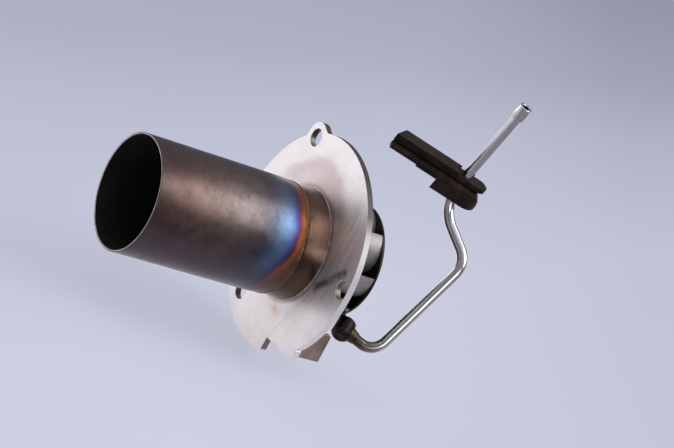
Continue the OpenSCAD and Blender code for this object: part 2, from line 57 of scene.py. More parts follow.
# ---------------------------------------------------------------- shader helpers
class Shader:
    """A node material that is built up call by call."""

    def __init__(self, name, metallic=1.0, specular=None):
        self.mat = bpy.data.materials.new(name)
        self.mat.use_nodes = True
        self.tree = self.mat.node_tree
        self.bsdf = self.tree.nodes["Principled BSDF"]
        self.bsdf.inputs["Metallic"].default_value = metallic
        if specular is not None:
            self.bsdf.inputs["Specular IOR Level"].default_value = specular
        self.where = self.tree.nodes.new("ShaderNodeTexCoord").outputs["Object"]
        self.axes = self.tree.nodes.new("ShaderNodeSeparateXYZ")
        self.tree.links.new(self.where, self.axes.inputs[0])

    def put(self, socket, value):
        if hasattr(value, "is_output"):
            self.tree.links.new(value, socket)
        else:
            socket.default_value = value

    def math(self, operation, a, b=0.0, c=0.0, clamp=False):
        n = self.tree.nodes.new("ShaderNodeMath")
        n.operation = operation
        n.use_clamp = clamp
        for socket, value in zip(n.inputs, (a, b, c)):
            self.put(socket, value)
        return n.outputs[0]

    def scaled(self, scale, offset=(0, 0, 0)):
        n = self.tree.nodes.new("ShaderNodeMapping")
        n.inputs["Scale"].default_value = scale
        n.inputs["Location"].default_value = offset
        self.tree.links.new(self.where, n.inputs[0])
        return n.outputs[0]

    def noise(self, scale, detail=4.0, rough=0.55, stretch=None, distort=0.0, offset=(0, 0, 0)):
        n = self.tree.nodes.new("ShaderNodeTexNoise")
        n.inputs["Scale"].default_value = scale
        n.inputs["Detail"].default_value = detail
        n.inputs["Roughness"].default_value = rough
        n.inputs["Distortion"].default_value = distort
        self.tree.links.new(self.scaled(stretch or (1, 1, 1), offset), n.inputs["Vector"])
        return n.outputs[0]

    def cells(self, scale, feature="F1", stretch=None):
        n = self.tree.nodes.new("ShaderNodeTexVoronoi")
        n.feature = feature
        n.inputs["Scale"].default_value = scale
        self.tree.links.new(self.scaled(stretch or (1, 1, 1)), n.inputs["Vector"])
        return n.outputs[0]

    def span(self, value, a, b, to=(0.0, 1.0), smooth=False):
        n = self.tree.nodes.new("ShaderNodeMapRange")
        n.interpolation_type = "SMOOTHSTEP" if smooth else "LINEAR"
        self.put(n.inputs["Value"], value)
        for name, number in (("From Min", a), ("From Max", b), ("To Min", to[0]), ("To Max", to[1])):
            n.inputs[name].default_value = number
        return n.outputs[0]

    def ramp(self, value, stops, ease="LINEAR"):
        n = self.tree.nodes.new("ShaderNodeValToRGB")
        n.color_ramp.interpolation = ease
        for i, (at, colour) in enumerate(stops):
            e = n.color_ramp.elements[i] if i < 2 else n.color_ramp.elements.new(at)
            e.position = at
            e.color = (*colour, 1)
        self.put(n.inputs[0], value)
        return n.outputs[0]

    def mix(self, amount, a, b, blend="MIX"):
        n = self.tree.nodes.new("ShaderNodeMix")
        n.data_type = "RGBA"
        n.blend_type = blend
        self.put(n.inputs["Factor"], amount)
        for socket, value in ((n.inputs[6], a), (n.inputs[7], b)):
            self.put(socket, (*value, 1) if isinstance(value, tuple) and len(value) == 3 else value)
        return n.outputs[2]

    def times(self, colour, level):
        """A colour times a level of 0 to 2."""
        grey = self.ramp(self.math("MULTIPLY", level, 0.5), [(0, (0, 0, 0)), (1, (2, 2, 2))])
        return self.mix(1.0, colour, grey, "MULTIPLY")

    def distance(self, at, stretch=(1, 1, 1)):
        """Distance from a point, in metres, with each axis weighted."""
        n = self.tree.nodes.new("ShaderNodeMapping")
        n.inputs["Scale"].default_value = stretch
        n.inputs["Location"].default_value = [-at[i] * stretch[i] for i in range(3)]
        self.tree.links.new(self.where, n.inputs[0])
        d = self.tree.nodes.new("ShaderNodeVectorMath")
        d.operation = "LENGTH"
        self.tree.links.new(n.outputs[0], d.inputs[0])
        return d.outputs["Value"]

    def radius(self):
        return self.distance((0, 0, 0), (1, 0, 1))

    def finish(self, colour, roughness, height=None, bump=0.2, depth=0.0004):
        self.put(self.bsdf.inputs["Base Color"], (*colour, 1) if isinstance(colour, tuple) else colour)
        self.put(self.bsdf.inputs["Roughness"], roughness)
        if height is not None:
            n = self.tree.nodes.new("ShaderNodeBump")
            n.inputs["Strength"].default_value = bump
            n.inputs["Distance"].default_value = depth
            self.tree.links.new(height, n.inputs["Height"])
            self.tree.links.new(n.outputs[0], self.bsdf.inputs["Normal"])
        return self.mat


def heat_tint(s, warp=0.005):
    """Colours of heated steel along the tube: brown-grey, blue, purple, straw, brown."""
    drift = s.span(s.axes.outputs["Z"], -0.016, 0.012, (0.0065, 0.0), smooth=True)
    wave = s.math("MULTIPLY", s.math("SUBTRACT", s.noise(45, 3, offset=(0.3, 0, 0.1)), 0.5), warp)
    y = s.math("ADD", s.math("ADD", s.axes.outputs["Y"], drift), wave)
    at = s.span(y, -0.085, 0.0)

    def stop(y_mm):
        """Place on the ramp of a distance along the tube."""
        return (y_mm + 85) / 85

    return s.ramp(at, [
        (0.0, (0.125, 0.093, 0.085)),
        (stop(-75), (0.150, 0.108, 0.092)),
        (stop(-62), (0.165, 0.118, 0.100)),
        (stop(-48), (0.170, 0.134, 0.117)),
        (stop(-38), (0.140, 0.124, 0.122)),
        (stop(-31), (0.118, 0.122, 0.145)),
        (stop(-26), (0.105, 0.160, 0.235)),
        (stop(-21.5), (0.145, 0.300, 0.46)),
        (stop(-18.0), (0.105, 0.170, 0.41)),
        (stop(-16.1), (0.120, 0.07, 0.29)),
        (stop(-15.0), (0.33, 0.09, 0.06)),
        (stop(-13.9), (0.78, 0.27, 0.07)),
        (stop(-12.4), (0.42, 0.23, 0.11)),
        (stop(-9), (0.23, 0.15, 0.10)),
    ], "B_SPLINE")


def tube_material():
    s = Shader("tube_heat_tint")
    tint = heat_tint(s)
    mottle = s.span(s.noise(170, 7, 0.7), 0.3, 0.72, (0.76, 1.22))
    brushed = s.span(s.noise(1, 3, 0.6, stretch=(60, 2200, 60)), 0.25, 0.75, (0.95, 1.05))
    blotch = s.span(s.noise(55, 5, 0.62, distort=0.5), 0.32, 0.68, (0.74, 1.24))
    cloud = s.span(s.noise(26, 3, 0.5, distort=0.6, offset=(0.1, 0.3, 0)), 0.3, 0.7, (0.84, 1.16))
    lit = s.math("MULTIPLY", s.math("MULTIPLY", mottle, brushed), s.math("MULTIPLY", blotch, cloud))
    colour = s.times(tint, lit)
    # painted shade: the lower side of the tube darker and bluer, and the straw band there a shaded,
    # darker orange
    painted_underside_shade = s.span(s.axes.outputs["Z"], 0.005, -0.014, (0.0, 0.84), smooth=True)
    colour = s.mix(painted_underside_shade, colour, (0.100, 0.088, 0.125))
    straw = s.span(s.axes.outputs["Y"], -0.024, -0.013, (0.0, 0.8), smooth=True)
    colour = s.mix(s.math("MULTIPLY", painted_underside_shade, straw), colour, (0.19, 0.095, 0.055))
    # painted shade: the top of the tube darker
    top = s.span(s.axes.outputs["Z"], 0.014, 0.024, (0.0, 0.55), smooth=True)
    colour = s.mix(top, colour, (0.075, 0.055, 0.062))
    colour = s.mix(1.0, colour, (0.64, 0.565, 0.585), "MULTIPLY")
    # painted highlight: a grey patch where the lamp's highlight falls on the tube
    painted_highlight = s.span(s.distance((0.0195, -0.046, 0.014), (1, 0.75, 1)), 0.021, 0.003, smooth=True)
    painted_highlight = s.math("MULTIPLY", painted_highlight, s.span(s.noise(230, 6, 0.7), 0.35, 0.62))
    colour = s.mix(s.math("MULTIPLY", painted_highlight, 0.55), colour, (0.17, 0.155, 0.145))
    specks = s.span(s.cells(750), 0.06, 0.0, (0.0, 0.5))
    specks = s.math("MULTIPLY", specks, s.span(s.noise(60, 3), 0.5, 0.62))
    colour = s.mix(specks, colour, (0.24, 0.22, 0.20))
    scuff = s.math("MULTIPLY", s.span(s.noise(1, 4, 0.7, stretch=(110, 420, 240)), 0.64, 0.72),
                   s.span(s.noise(30, 2), 0.52, 0.6))
    colour = s.mix(s.math("MULTIPLY", scuff, 0.35), colour, (0.26, 0.24, 0.24))
    rough = s.math("ADD", s.span(s.noise(48, 4, 0.6), 0.3, 0.7, (0.29, 0.41)),
                   s.span(s.noise(260, 4, 0.6), 0.3, 0.7, (-0.03, 0.04)))
    grain = s.math("ADD", s.math("MULTIPLY", brushed, 0.6), s.math("MULTIPLY", mottle, 0.35))
    return s.finish(colour, rough, grain, 0.12, 0.00012)


# dark bore colour: real in the burnt tube and neck, painted shade in the fuel pipe's bore
def soot_and_shade_material():
    s = Shader("tube_soot_and_bore_shade", metallic=0.0, specular=0.2)
    patch = s.noise(140, 5, 0.6)
    colour = s.ramp(patch, [(0.25, (0.0035, 0.003, 0.003)), (0.8, (0.014, 0.011, 0.010))])
    return s.finish(colour, s.span(patch, 0, 1, (0.8, 0.97)), patch, 0.3, 0.0003)


def rim_material():
    s = Shader("tube_rim")
    patch = s.noise(300, 5, 0.6)
    colour = s.ramp(patch, [(0.3, (0.20, 0.165, 0.16)), (0.7, (0.46, 0.40, 0.39))])
    return s.finish(colour, s.span(patch, 0.3, 0.7, (0.28, 0.42)), patch, 0.1, 0.0001)


def neck_material():
    s = Shader("neck_tan_steel")
    y = s.math("ADD", s.axes.outputs["Y"],
               s.math("MULTIPLY", s.math("SUBTRACT", s.noise(160, 4), 0.5), 0.003))
    tint = s.ramp(s.span(y, -0.012, 0.0), [
        (0.0, (0.15, 0.09, 0.055)),
        (0.18, (0.24, 0.15, 0.095)),
        (0.55, (0.40, 0.28, 0.21)),
        (0.9, (0.34, 0.235, 0.19)),
        (1.0, (0.20, 0.14, 0.12)),
    ])
    streak = s.span(s.noise(1, 4, 0.6, stretch=(150, 1500, 150)), 0.3, 0.7, (0.8, 1.15))
    cloud = s.span(s.noise(70, 4, 0.6), 0.3, 0.7, (0.78, 1.2))
    lit = s.math("MULTIPLY", streak, cloud)
    colour = s.times(tint, lit)
    # painted light: the neck brightened, with painted shade below and above that leaves a painted
    # highlight band across its middle
    colour = s.mix(1.0, colour, (1.35, 1.28, 1.25), "MULTIPLY")
    low = s.span(s.axes.outputs["Z"], 0.011, 0.001, (0.0, 0.88), smooth=True)
    high = s.span(s.axes.outputs["Z"], 0.0165, 0.0215, (0.0, 0.75), smooth=True)
    colour = s.mix(s.math("MAXIMUM", low, high), colour, (0.05, 0.03, 0.026))
    crack = s.math("MULTIPLY", s.span(s.noise(1, 5, 0.75, stretch=(500, 170, 500)), 0.57, 0.63),
                   s.span(s.axes.outputs["Y"], -0.007, -0.010))
    colour = s.mix(s.math("MULTIPLY", crack, 0.75), colour, (0.03, 0.022, 0.018))
    return s.finish(colour, s.span(cloud, 0.8, 1.2, (0.25, 0.17)), streak, 0.1, 0.00012)


def weld_material(name, low, high, rough=(0.32, 0.5)):
    s = Shader(name)
    patch = s.noise(420, 5, 0.65)
    between = tuple((a + b) / 2 for a, b in zip(low, high))
    colour = s.ramp(patch, [(0.28, low), (0.5, between), (0.74, high)])
    return s.finish(colour, s.span(patch, 0.3, 0.7, rough), patch, 0.35, 0.0002)


def flange_material():
    s = Shader("flange_satin_steel", metallic=0.8)
    fine = s.span(s.noise(1, 4, 0.6, stretch=(1300, 1, 420)), 0.3, 0.7, (0.95, 1.04))
    cloud = s.noise(52, 5, 0.6)
    colour = s.ramp(cloud, [
        (0.28, (0.80, 0.75, 0.755)), (0.5, (0.90, 0.865, 0.87)), (0.72, (0.95, 0.935, 0.94))])
    r = s.radius()
    wander = s.math("SUBTRACT", s.noise(62, 5, 0.65, offset=(0.4, 0, 0.2)), 0.5)
    wander = s.math("MULTIPLY", wander, 0.009)
    near = s.span(s.math("ADD", r, wander), 0.038, 0.0255, smooth=True)
    # the tint round the neck, partly heat tint and partly painted reflection of the tube with painted
    # shade, is stronger up and to the right of it, and a pink arc, partly tint and partly painted
    # reflection, lies above it
    arc = s.math("SUBTRACT", s.math("ADD", r, wander), 0.0345)
    arc = s.span(s.math("ABSOLUTE", arc), 0.0055, 0.0002, smooth=True)
    arc = s.math("MULTIPLY", arc, s.span(s.axes.outputs["Z"], 0.012, 0.028, smooth=True))
    arc = s.math("MULTIPLY", arc, s.span(s.axes.outputs["X"], 0.024, 0.004, smooth=True))
    colour = s.mix(s.math("MULTIPLY", arc, 0.5), colour, (0.50, 0.36, 0.36))
    # a pinkish veil above the neck, partly heat tint and partly painted reflection
    inside = s.math("MULTIPLY", s.span(s.math("ADD", r, wander), 0.036, 0.030, smooth=True),
                    s.span(s.axes.outputs["Z"], 0.0, 0.025, smooth=True))
    colour = s.mix(s.math("MULTIPLY", inside, 0.34), colour, (0.60, 0.45, 0.43))
    # painted reflection of the tube and painted shade over the heat tint, up and to the right of the neck
    side = s.span(s.distance((0.021, 0, 0.020), (1, 0, 1)), 0.034, 0.006, smooth=True)
    brown = s.math("MULTIPLY", s.math("MULTIPLY", near, 0.35), s.math("ADD", side, 0.45), clamp=True)
    colour = s.mix(brown, colour, (0.40, 0.275, 0.26))
    shade = s.math("MULTIPLY", s.math("MULTIPLY", near, side), 0.26)
    colour = s.mix(shade, colour, (0.22, 0.16, 0.155))
    ring = s.span(r, 0.0274, 0.0252, smooth=True)
    colour = s.mix(s.math("MULTIPLY", ring, 0.55), colour, (0.20, 0.13, 0.11))
    veil = s.noise(1, 4, 0.6, stretch=(30, 1, 85), offset=(0, 0, 0.3))
    veil = s.math("MULTIPLY", s.span(veil, 0.5, 0.7), 0.22)
    colour = s.mix(veil, colour, (0.55, 0.47, 0.50))
    # grey-brown brush marks between the neck and the right hand rim
    marks = s.span(s.noise(1, 5, 0.7, stretch=(380, 1, 34), offset=(0.2, 0, 0)), 0.42, 0.66)
    where = s.math("MULTIPLY", s.span(s.axes.outputs["X"], 0.021, 0.029, smooth=True),
                   s.span(r, 0.0465, 0.041, smooth=True))
    where = s.math("MULTIPLY", where, s.span(s.axes.outputs["Z"], -0.018, -0.004, smooth=True))
    colour = s.mix(s.math("MULTIPLY", s.math("MULTIPLY", marks, where), 0.4), colour, (0.34, 0.27, 0.255))
    # heat smudges: orange below the neck, dark beside the right hand hole
    smudge = s.span(s.distance((0.009, 0, -0.0275), (0.8, 0, 1.5)), 0.0065, 0.0, smooth=True)
    smudge = s.math("MULTIPLY", smudge, s.span(s.noise(260, 4, 0.6), 0.35, 0.65))
    colour = s.mix(s.math("MULTIPLY", smudge, 0.62), colour, (0.66, 0.26, 0.13))
    scuff = s.span(line_distance(s, (0.0275, -0.0065), (0.0405, 0.0072)), 0.0030, 0.0003, smooth=True)
    scuff = s.math("MULTIPLY", scuff, s.span(s.noise(190, 4, 0.6), 0.22, 0.52))
    colour = s.mix(s.math("MULTIPLY", scuff, 0.85), colour, (0.12, 0.10, 0.115))
    fold = s.span(line_distance(s, (0.0138, -0.0398), (0.0275, -0.0065)), 0.0014, 0.0, smooth=True)
    colour = s.mix(s.math("MULTIPLY", fold, 0.2), colour, (0.5, 0.46, 0.47))
    scratch = s.noise(1, 2, 0.5, stretch=(35, 1, 1500), offset=(0.1, 0, 0))
    scratch = s.math("MULTIPLY", s.span(scratch, 0.69, 0.73), 0.4)
    colour = s.mix(scratch, colour, (0.93, 0.92, 0.93))
    colour = s.times(colour, fine)
    face = s.tree.nodes.new("ShaderNodeSeparateXYZ")
    s.tree.links.new(s.tree.nodes.new("ShaderNodeNewGeometry").outputs["Normal"], face.inputs[0])
    edge = s.span(s.math("ABSOLUTE", face.outputs["Y"]), 0.92, 0.35)
    # painted light on the edges: the outer rim light at the bottom and dark at the top as painted
    # reflection and shade, and painted shade on the hole walls
    painted_edge_light = s.ramp(s.span(s.axes.outputs["Z"], 0.0, 0.032), [
        (0.0, (0.78, 0.74, 0.77)), (0.5, (0.55, 0.52, 0.54)), (1.0, (0.02, 0.018, 0.02))])
    painted_edge_light = s.mix(s.span(r, 0.0470, 0.0480), (0.13, 0.11, 0.10), painted_edge_light)
    colour = s.mix(s.math("MULTIPLY", edge, 0.94), colour, painted_edge_light)
    streak = s.span(s.noise(1, 4, 0.65, stretch=(260, 1, 22)), 0.35, 0.65, (-0.03, 0.05))
    rough = s.math("ADD", s.span(cloud, 0.3, 0.7, (0.41, 0.33)), streak)
    rough = s.math("ADD", rough, s.math("MULTIPLY", edge, 0.1))
    height = s.math("SUBTRACT", s.math("MULTIPLY", fine, 0.6), s.math("MULTIPLY", fold, 0.8))
    height = s.math("SUBTRACT", height, s.math("MULTIPLY", scuff, 0.9))
    return s.finish(colour, rough, height, 0.2, 0.0002)


def line_distance(s, a, b):
    """Distance in the XZ plane from the segment between two points."""
    dx, dz = b[0] - a[0], b[1] - a[1]
    length = math.hypot(dx, dz)
    ux, uz = dx / length, dz / length
    x = s.math("SUBTRACT", s.axes.outputs["X"], a[0])
    z = s.math("SUBTRACT", s.axes.outputs["Z"], a[1])
    along = s.math("ADD", s.math("MULTIPLY", x, ux), s.math("MULTIPLY", z, uz))
    across = s.math("SUBTRACT", s.math("MULTIPLY", x, -uz), s.math("MULTIPLY", z, -ux))
    past = s.math("MAXIMUM", s.math("SUBTRACT", along, length), s.math("MULTIPLY", along, -1.0))
    past = s.math("MAXIMUM", past, 0.0)
    return s.math("SQRT", s.math("ADD", s.math("POWER", across, 2.0), s.math("POWER", past, 2.0)))


def sheet_material(name, low, high, rough, inner=None, metallic=1.0):
    """Sheet steel, and where inner is given, that colour painted as shade towards the cage's middle."""
    s = Shader(name, metallic=metallic)
    cloud = s.noise(90, 5, 0.6)
    fine = s.span(s.noise(1, 3, 0.6, stretch=(700, 180, 700)), 0.3, 0.7, (0.92, 1.08))
    colour = s.ramp(cloud, [(0.28, low), (0.72, high)])
    # painted shade: darker towards the cage's middle
    if inner:
        depth = s.span(s.radius(), 0.0255, 0.0165, smooth=True)
        colour = s.mix(depth, colour, inner)
    colour = s.times(colour, fine)
    return s.finish(colour, s.span(cloud, 0.3, 0.7, rough), fine, 0.12, 0.00012)


def pipe_material(inlet):
    s = Shader("pipe_polished_steel")
    haze = s.noise(90, 3, 0.5)
    steel = s.ramp(haze, [(0.25, (0.46, 0.455, 0.48)), (0.75, (0.56, 0.555, 0.58))])
    drift = s.math("MULTIPLY", s.math("SUBTRACT", s.noise(120, 3, offset=(0.2, 0, 0)), 0.5), 0.008)
    away = s.math("ADD", s.distance(inlet), drift)
    heat = s.ramp(s.span(away, 0.004, 0.020), [
        (0.0, (0.026, 0.020, 0.017)),
        (0.3, (0.055, 0.041, 0.034)),
        (0.55, (0.13, 0.108, 0.095)),
        (0.8, (0.28, 0.26, 0.25)),
        (1.0, (0.45, 0.44, 0.46)),
    ])
    colour = s.mix(s.span(away, 0.021, 0.016, smooth=True), steel, heat)
    rough = s.math("ADD", s.span(haze, 0.3, 0.7, (0.15, 0.2)), s.span(away, 0.018, 0.006, (0.0, 0.12)))
    return s.finish(colour, rough)


def olive_material():
    s = Shader("olive_turned_steel")
    haze = s.noise(1, 4, 0.6, stretch=(300, 300, 900))
    colour = s.ramp(haze, [(0.25, (0.42, 0.41, 0.43)), (0.75, (0.58, 0.57, 0.59))])
    return s.finish(colour, s.span(haze, 0.3, 0.7, (0.2, 0.28)))


def inlet_material():
    s = Shader("inlet_oxidised_steel")
    patch = s.noise(260, 5, 0.6)
    colour = s.ramp(patch, [
        (0.25, (0.010, 0.009, 0.009)), (0.5, (0.018, 0.016, 0.014)), (0.78, (0.05, 0.038, 0.03))])
    return s.finish(colour, s.span(patch, 0.3, 0.7, (0.2, 0.36)), patch, 0.15, 0.0002)


def fleece_material():
    s = Shader("fleece_metal_felt", metallic=0.6)
    fibre = s.noise(1800, 3, 0.8)
    colour = s.ramp(fibre, [(0.3, (0.03, 0.026, 0.024)), (0.7, (0.17, 0.15, 0.14))])
    return s.finish(colour, s.span(fibre, 0.3, 0.7, (0.6, 0.85)), fibre, 0.8, 0.0004)


def rubber_material(n):
    """Black-brown rubber with a rusty bloom, stronger on the faces that look along n."""
    s = Shader("grommet_rubber", metallic=0.0, specular=0.12)
    dust = s.noise(330, 6, 0.65)
    broad = s.noise(60, 4, 0.6)
    colour = s.ramp(broad, [(0.3, (0.006, 0.0038, 0.0035)), (0.7, (0.013, 0.0085, 0.0075))])
    bloom = s.math("MULTIPLY", s.span(dust, 0.42, 0.7), s.span(broad, 0.42, 0.68))
    colour = s.mix(s.math("MULTIPLY", bloom, 0.5), colour, (0.070, 0.032, 0.019))
    face = s.tree.nodes.new("ShaderNodeNewGeometry").outputs["True Normal"]
    look = s.tree.nodes.new("ShaderNodeVectorMath")
    look.operation = "DOT_PRODUCT"
    s.tree.links.new(face, look.inputs[0])
    look.inputs[1].default_value = n
    top = s.math("MULTIPLY", s.span(look.outputs["Value"], 0.7, 0.95), s.span(dust, 0.3, 0.65))
    colour = s.mix(s.math("MULTIPLY", top, 0.22), colour, (0.050, 0.028, 0.020))
    return s.finish(colour, s.span(dust, 0.3, 0.7, (0.5, 0.68)), dust, 0.28, 0.00018)


# ---------------------------------------------------------------- mesh helpers
def new_piece(name, verts, faces, materials, picks=None, body="burner"):
    mesh = bpy.data.meshes.new(name)
    mesh.from_pydata([tuple(v) for v in verts], [], faces)
    for m in materials:
        mesh.materials.append(m)
    if picks:
        mesh.polygons.foreach_set("material_index", picks)
    bm = bmesh.new()
    bm.from_mesh(mesh)
    bmesh.ops.recalc_face_normals(bm, faces=bm.faces)
    bm.to_mesh(mesh)
    bm.free()
    mesh.shade_smooth()
    mesh.set_sharp_from_angle(angle=math.radians(38))
    o = bpy.data.objects.new(name, mesh)
    bpy.context.scene.collection.objects.link(o)
    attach(o, body)
    return o


def rounded(profile, radii, steps=4):
    """A closed profile with each corner rounded by its own radius."""
    out, tags = [], []
    count = len(profile)
    for i, (p, r) in enumerate(zip(profile, radii)):
        a = Vector(profile[i - 1]) - Vector(p)
        b = Vector(profile[(i + 1) % count]) - Vector(p)
        if r <= 0:
            out.append(Vector(p))
            tags.append(i)
            continue
        cut = min(r, a.length * 0.45, b.length * 0.45)
        a0, b0 = Vector(p) + a.normalized() * cut, Vector(p) + b.normalized() * cut
        for k in range(steps + 1):
            t = k / steps
            out.append(a0 * (1 - t) ** 2 + Vector(p) * 2 * t * (1 - t) + b0 * t * t)
            tags.append(i)
    return out, tags


def lathe(name, profile, radii, materials, picks_by_corner=None, place=None, sides=192,
          wobble=None, body="burner"):
    """Turns a closed profile of (radius, distance) about an axis, Y where no place is given.

    radii rounds each corner, and picks_by_corner numbers the material of the side after it."""
    points, tags = rounded(profile, radii)
    place = place or Matrix(((1, 0, 0, 0), (0, 0, 1, 0), (0, -1, 0, 0), (0, 0, 0, 1)))
    verts, faces, picks = [], [], []
    count = len(points)
    for k in range(sides):
        a = 2 * math.pi * k / sides
        for r, d in points:
            grow = wobble(a, r, d) if wobble else 0.0
            verts.append(place @ Vector(((r + grow) * math.cos(a), (r + grow) * math.sin(a), d)))
    for k in range(sides):
        nxt = (k + 1) % sides
        for i in range(count):
            j = (i + 1) % count
            faces.append((k * count + i, k * count + j, nxt * count + j, nxt * count + i))
            picks.append(picks_by_corner[tags[i]] if picks_by_corner else 0)
    return new_piece(name, verts, faces, materials, picks, body)


def along(direction, at):
    z = Vector(direction).normalized()
    x = Vector((0, 1, 0)) if abs(z.y) < 0.9 else Vector((1, 0, 0))
    x = (x - z * x.dot(z)).normalized()
    y = z.cross(x)
    return Matrix((
        (x.x, y.x, z.x, at[0]), (x.y, y.y, z.y, at[1]), (x.z, y.z, z.z, at[2]), (0, 0, 0, 1)))


def bent_path(corners, bends, steps=22):
    """Points and directions along straight legs joined by round bends."""
    path = [(corners[0], (corners[1] - corners[0]).normalized())]
    for i in range(1, len(corners) - 1):
        d0 = (corners[i] - corners[i - 1]).normalized()
        d1 = (corners[i + 1] - corners[i]).normalized()
        turn = d0.angle(d1)
        axis = d0.cross(d1).normalized()
        r = bends[i]
        start = corners[i] - d0 * r * math.tan(turn / 2)
        arm = axis.cross(d0) * r
        centre = start + arm
        for k in range(steps + 1):
            q = Matrix.Rotation(turn * k / steps, 3, axis)
            path.append((centre - q @ arm, q @ d0))
    path.append((corners[-1], (corners[-1] - corners[-2]).normalized()))
    return path


def pipe_mesh(name, path, outer, bore, materials, sides=56, lip=0.15 * MM):
    """A tube along a path, with its wall, a rounded mouth at its far end and a flat ring at its start."""
    side = along(path[0][1], path[0][0]).col[0].to_3d()
    rings, last = [], path[0][1]
    for at, direction in path:
        turn = last.rotation_difference(direction)
        side = (turn @ side).normalized()
        last = direction
        rings.append((at, direction, side))
    loops = []

    def loop(ring, r, shift=0.0):
        at, direction, s = ring
        t = direction.cross(s)
        loops.append([at + direction * shift + (s * math.cos(a) + t * math.sin(a)) * r
                      for a in (2 * math.pi * k / sides for k in range(sides))])

    loop(rings[0], outer)
    for ring in rings[1:-1]:
        loop(ring, outer)
    loop(rings[-1], outer, -lip)
    loop(rings[-1], outer - lip, 0.0)
    loop(rings[-1], bore + lip, 0.0)
    loop(rings[-1], bore, -lip)
    for ring in reversed(rings[:-1]):
        loop(ring, bore)
    verts = [v for one in loops for v in one]
    faces, picks = [], []
    count = len(loops)
    for m in range(count):
        n = (m + 1) % count
        for k in range(sides):
            j = (k + 1) % sides
            faces.append((m * sides + k, n * sides + k, n * sides + j, m * sides + j))
            picks.append(1 if len(rings) + 3 < m + 1 < count else 0)
    return new_piece(name, verts, faces, materials, picks)


def bevelled_copy(node, width, segments, materials, body, angle=28):
    """A new piece with a CAD node's form and softened edges."""
    source = nodes[node]
    mesh = source.data.copy()
    mesh.materials.clear()
    for m in materials:
        mesh.materials.append(m)
    bm = bmesh.new()
    bm.from_mesh(mesh)
    bmesh.ops.remove_doubles(bm, verts=bm.verts, dist=2e-6)
    bmesh.ops.dissolve_limit(bm, angle_limit=math.radians(1.2), verts=bm.verts, edges=bm.edges)
    bmesh.ops.recalc_face_normals(bm, faces=bm.faces)
    bm.to_mesh(mesh)
    bm.free()
    mesh.polygons.foreach_set("material_index", [0] * len(mesh.polygons))
    o = bpy.data.objects.new(node + "_dressed", mesh)
    bpy.context.scene.collection.objects.link(o)
    mesh.shade_smooth()
    mesh.set_sharp_from_angle(angle=math.radians(50))
    b = o.modifiers.new("soft_edges", "BEVEL")
    b.width = width
    b.segments = segments
    b.limit_method = "ANGLE"
    b.angle_limit = math.radians(angle)
    b.harden_normals = False
    w = o.modifiers.new("even_shade", "WEIGHTED_NORMAL")
    w.keep_sharp = False
    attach(o, body)
    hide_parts(node)
    return o


def dress(node, material):
    o = nodes[node]
    o.data.materials.clear()
    o.data.materials.append(material)


# ---------------------------------------------------------------- pieces
tube_mat, soot_and_shade, rim = tube_material(), soot_and_shade_material(), rim_material()
neck_mat, flange_mat = neck_material(), flange_material()
seam_mat = weld_material("seam_weld_brown", (0.035, 0.02, 0.012), (0.22, 0.135, 0.08))
collar_mat = weld_material("collar_weld_brown", (0.018, 0.013, 0.011), (0.075, 0.052, 0.04),
                           (0.3, 0.45))
lug_mat = sheet_material("lug_tan_steel", (0.18, 0.135, 0.115), (0.40, 0.315, 0.28), (0.4, 0.55))
# the vanes take painted shade towards the cage's middle
vane_mat = sheet_material("vane_steel", (0.22, 0.197, 0.192), (0.35, 0.32, 0.31), (0.42, 0.54),
                          (0.22, 0.195, 0.19), 0.65)
dark_mat = sheet_material("oxidised_steel", (0.012, 0.011, 0.011), (0.05, 0.042, 0.038), (0.38, 0.55))
liner_mat = sheet_material("liner_steel", (0.06, 0.05, 0.045), (0.17, 0.14, 0.125), (0.45, 0.6))
olive_mat, inlet_mat, fleece_mat = olive_material(), inlet_material(), fleece_material()

# combustion tube, with a sooted bore and a lighter coloured rim
lip = 0.22 * MM
tube = lathe("combustion_tube_turned",
             [(24.2 * MM, -85 * MM), (25 * MM, -85 * MM), (25 * MM, -17 * MM), (24.52 * MM, -11.5 * MM),
              (23.72 * MM, -11.5 * MM), (24.2 * MM, -17 * MM)],
             [lip, lip, 4 * MM, 0, 0, 4 * MM], [tube_mat, soot_and_shade, rim],
             picks_by_corner=(2, 0, 0, 1, 1, 1), sides=256)
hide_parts("combustion_tube")


def ripple(a, r, d):
    """Ripples of a weld bead, low on its feet and full on its crest."""
    crest = max(0.0, (r - 24.45 * MM) / (0.42 * MM))
    spot = Vector((math.cos(a) * 9, math.sin(a) * 9, 1.3))
    wave = 0.05 * math.sin(a * 150) + 0.09 * noise.noise(spot)
    return min(0.02, wave) * MM * crest - 0.02 * MM * crest


bead = lathe("seam_weld_bead",
             [(24.6 * MM, -12.35 * MM), (24.45 * MM, -11.5 * MM), (24.2 * MM, -11.5 * MM),
              (24.23 * MM, -10.65 * MM), (24.62 * MM, -11.0 * MM), (24.86 * MM, -11.5 * MM),
              (24.78 * MM, -12.0 * MM)],
             [0, 0, 0, 0, 0.25 * MM, 0.3 * MM, 0.25 * MM], [seam_mat], sides=720, wobble=ripple)
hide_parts("seam_weld")

neck = lathe("neck_sleeve_turned",
             [(23.2 * MM, -11.5 * MM), (24.2 * MM, -11.5 * MM), (24.68 * MM, -0.5 * MM),
              (24.98 * MM, -0.42 * MM), (24.98 * MM, 0.1 * MM), (24.7 * MM, 0.1 * MM),
              (24.7 * MM, 3 * MM), (23.2 * MM, 3 * MM)],
             [0, 0, 0.1 * MM, 0.12 * MM, 0, 0, 0.2 * MM, 0.2 * MM], [neck_mat, soot_and_shade, rim],
             picks_by_corner=(0, 0, 2, 2, 2, 0, 0, 1), sides=256)
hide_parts("neck_sleeve")

flange = bevelled_copy("flange_plate", 0.32 * MM, 3, [flange_mat], "burner")
lug = bevelled_copy("locating_lug", 0.25 * MM, 3, [lug_mat], "burner")

